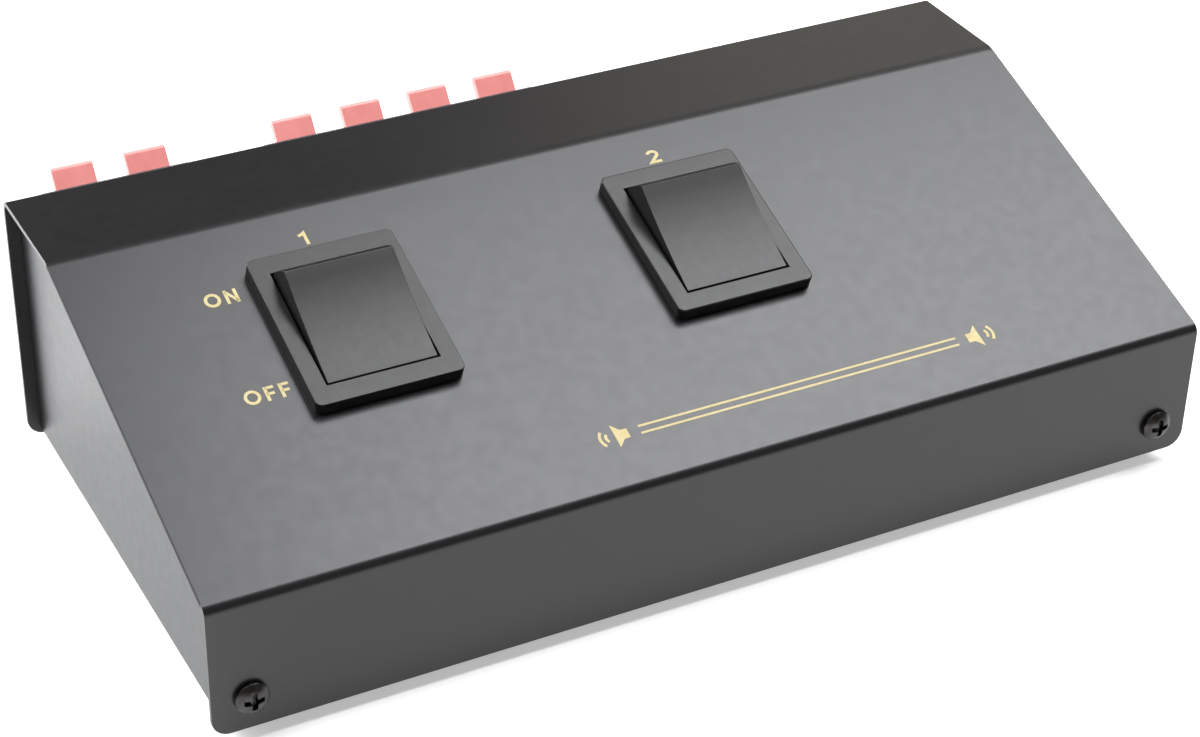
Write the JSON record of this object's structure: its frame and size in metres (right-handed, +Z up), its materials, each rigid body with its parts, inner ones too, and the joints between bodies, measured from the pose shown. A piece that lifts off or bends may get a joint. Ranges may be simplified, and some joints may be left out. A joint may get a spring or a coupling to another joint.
{
  "type": "speaker selector switch",
  "caption": "Wedge-shaped black steel box that routes an amplifier to speaker pairs, with rocker switches on its sloping face and sprung wire terminals on its back.",
  "frame": {"origin": "middle of the whole footprint, from the front screw heads to the tips of the terminal levers, on the plane that the feet stand on", "axes": "+X to the right as seen from the front, +Y to the rear, towards the wire terminals, +Z up"},
  "size_m": [0.18, 0.1025, 0.0502],
  "materials": {
    "case_paint": "satin black paint",
    "screw_steel": "black zinc",
    "foot_rubber": "matte black",
    "switch_plastic": "fine matte black",
    "plunger_plastic": "natural nylon",
    "spring_steel": "bright wire",
    "contact_brass": "plain",
    "tinned_metal": "tinned",
    "board_plastic": "moulded black",
    "lever_red": "moulded red",
    "lever_black": "moulded black"
  },
  "bodies": {
    "case": {"top_cover": "case_paint", "base_tray": "case_paint", "cover_screws": "screw_steel", "terminal_screws": "screw_steel", "foot_front_left": "foot_rubber", "foot_front_right": "foot_rubber", "foot_rear_left": "foot_rubber", "foot_rear_right": "foot_rubber", "switch_body_1": "switch_plastic", "solder_lugs_1": "tinned_metal", "switch_body_2": "switch_plastic", "solder_lugs_2": "tinned_metal", "amplifier_board": "board_plastic", "amplifier_contact_strips": "tinned_metal", "speaker_board": "board_plastic", "speaker_contact_strips": "tinned_metal"},
    "rocker_1": {"rocker_1": "switch_plastic", "plungers_1": "plunger_plastic", "plunger_springs_1": "spring_steel"},
    "contacts_1": {"contact_plates_1": "contact_brass"},
    "rocker_2": {"rocker_2": "switch_plastic", "plungers_2": "plunger_plastic", "plunger_springs_2": "spring_steel"},
    "contacts_2": {"contact_plates_2": "contact_brass"},
    "lever_in_left_red": {"lever_in_left_red": "lever_red"},
    "lever_in_left_black": {"lever_in_left_black": "lever_black"},
    "lever_in_right_red": {"lever_in_right_red": "lever_red"},
    "lever_in_right_black": {"lever_in_right_black": "lever_black"},
    "lever_out_1_left_red": {"lever_out_1_left_red": "lever_red"},
    "lever_out_1_left_black": {"lever_out_1_left_black": "lever_black"},
    "lever_out_1_right_red": {"lever_out_1_right_red": "lever_red"},
    "lever_out_1_right_black": {"lever_out_1_right_black": "lever_black"},
    "lever_out_2_left_red": {"lever_out_2_left_red": "lever_red"},
    "lever_out_2_left_black": {"lever_out_2_left_black": "lever_black"},
    "lever_out_2_right_red": {"lever_out_2_right_red": "lever_red"},
    "lever_out_2_right_black": {"lever_out_2_right_black": "lever_black"}
  },
  "joints": [
    {"name": "rocker_1_tilt", "type": "hinge", "parent": "case", "child": "rocker_1", "pos_m": [-0.048, -0.00644, 0.03817], "axis": [-1, 0, 0], "range_deg": [0, 28]},
    {"name": "contacts_1_rock", "type": "hinge", "parent": "case", "child": "contacts_1", "pos_m": [-0.048, -0.003, 0.02815], "axis": [1, 0, 0], "range_deg": [0, 16]},
    {"name": "rocker_2_tilt", "type": "hinge", "parent": "case", "child": "rocker_2", "pos_m": [0.016, -0.00644, 0.03817], "axis": [-1, 0, 0], "range_deg": [0, 28]},
    {"name": "contacts_2_rock", "type": "hinge", "parent": "case", "child": "contacts_2", "pos_m": [0.016, -0.003, 0.02815], "axis": [1, 0, 0], "range_deg": [0, 16]},
    {"name": "lever_in_left_red_press", "type": "hinge", "parent": "case", "child": "lever_in_left_red", "pos_m": [-0.0751, 0.04462, 0.039], "axis": [-1, 0, 0], "range_deg": [0, 25], "stiffness_Nm_per_rad": 0.01, "springref_deg": -11.46},
    {"name": "lever_in_left_black_press", "type": "hinge", "parent": "case", "child": "lever_in_left_black", "pos_m": [-0.0751, 0.04462, 0.023], "axis": [-1, 0, 0], "range_deg": [0, 25], "stiffness_Nm_per_rad": 0.01, "springref_deg": -11.46},
    {"name": "lever_in_right_red_press", "type": "hinge", "parent": "case", "child": "lever_in_right_red", "pos_m": [-0.0621, 0.04462, 0.039], "axis": [-1, 0, 0], "range_deg": [0, 25], "stiffness_Nm_per_rad": 0.01, "springref_deg": -11.46},
    {"name": "lever_in_right_black_press", "type": "hinge", "parent": "case", "child": "lever_in_right_black", "pos_m": [-0.0621, 0.04462, 0.023], "axis": [-1, 0, 0], "range_deg": [0, 25], "stiffness_Nm_per_rad": 0.01, "springref_deg": -11.46},
    {"name": "lever_out_1_left_red_press", "type": "hinge", "parent": "case", "child": "lever_out_1_left_red", "pos_m": [-0.035, 0.04462, 0.039], "axis": [-1, 0, 0], "range_deg": [0, 25], "stiffness_Nm_per_rad": 0.01, "springref_deg": -11.46},
    {"name": "lever_out_1_left_black_press", "type": "hinge", "parent": "case", "child": "lever_out_1_left_black", "pos_m": [-0.035, 0.04462, 0.023], "axis": [-1, 0, 0], "range_deg": [0, 25], "stiffness_Nm_per_rad": 0.01, "springref_deg": -11.46},
    {"name": "lever_out_1_right_red_press", "type": "hinge", "parent": "case", "child": "lever_out_1_right_red", "pos_m": [-0.022, 0.04462, 0.039], "axis": [-1, 0, 0], "range_deg": [0, 25], "stiffness_Nm_per_rad": 0.01, "springref_deg": -11.46},
    {"name": "lever_out_1_right_black_press", "type": "hinge", "parent": "case", "child": "lever_out_1_right_black", "pos_m": [-0.022, 0.04462, 0.023], "axis": [-1, 0, 0], "range_deg": [0, 25], "stiffness_Nm_per_rad": 0.01, "springref_deg": -11.46},
    {"name": "lever_out_2_left_red_press", "type": "hinge", "parent": "case", "child": "lever_out_2_left_red", "pos_m": [-0.009, 0.04462, 0.039], "axis": [-1, 0, 0], "range_deg": [0, 25], "stiffness_Nm_per_rad": 0.01, "springref_deg": -11.46},
    {"name": "lever_out_2_left_black_press", "type": "hinge", "parent": "case", "child": "lever_out_2_left_black", "pos_m": [-0.009, 0.04462, 0.023], "axis": [-1, 0, 0], "range_deg": [0, 25], "stiffness_Nm_per_rad": 0.01, "springref_deg": -11.46},
    {"name": "lever_out_2_right_red_press", "type": "hinge", "parent": "case", "child": "lever_out_2_right_red", "pos_m": [0.004, 0.04462, 0.039], "axis": [-1, 0, 0], "range_deg": [0, 25], "stiffness_Nm_per_rad": 0.01, "springref_deg": -11.46},
    {"name": "lever_out_2_right_black_press", "type": "hinge", "parent": "case", "child": "lever_out_2_right_black", "pos_m": [0.004, 0.04462, 0.023], "axis": [-1, 0, 0], "range_deg": [0, 25], "stiffness_Nm_per_rad": 0.01, "springref_deg": -11.46}
  ],
  "couplings": [
    {"joint": "contacts_1_rock", "follows": "rocker_1_tilt", "ratio": 0.5714},
    {"joint": "contacts_2_rock", "follows": "rocker_2_tilt", "ratio": 0.5714}
  ]
}
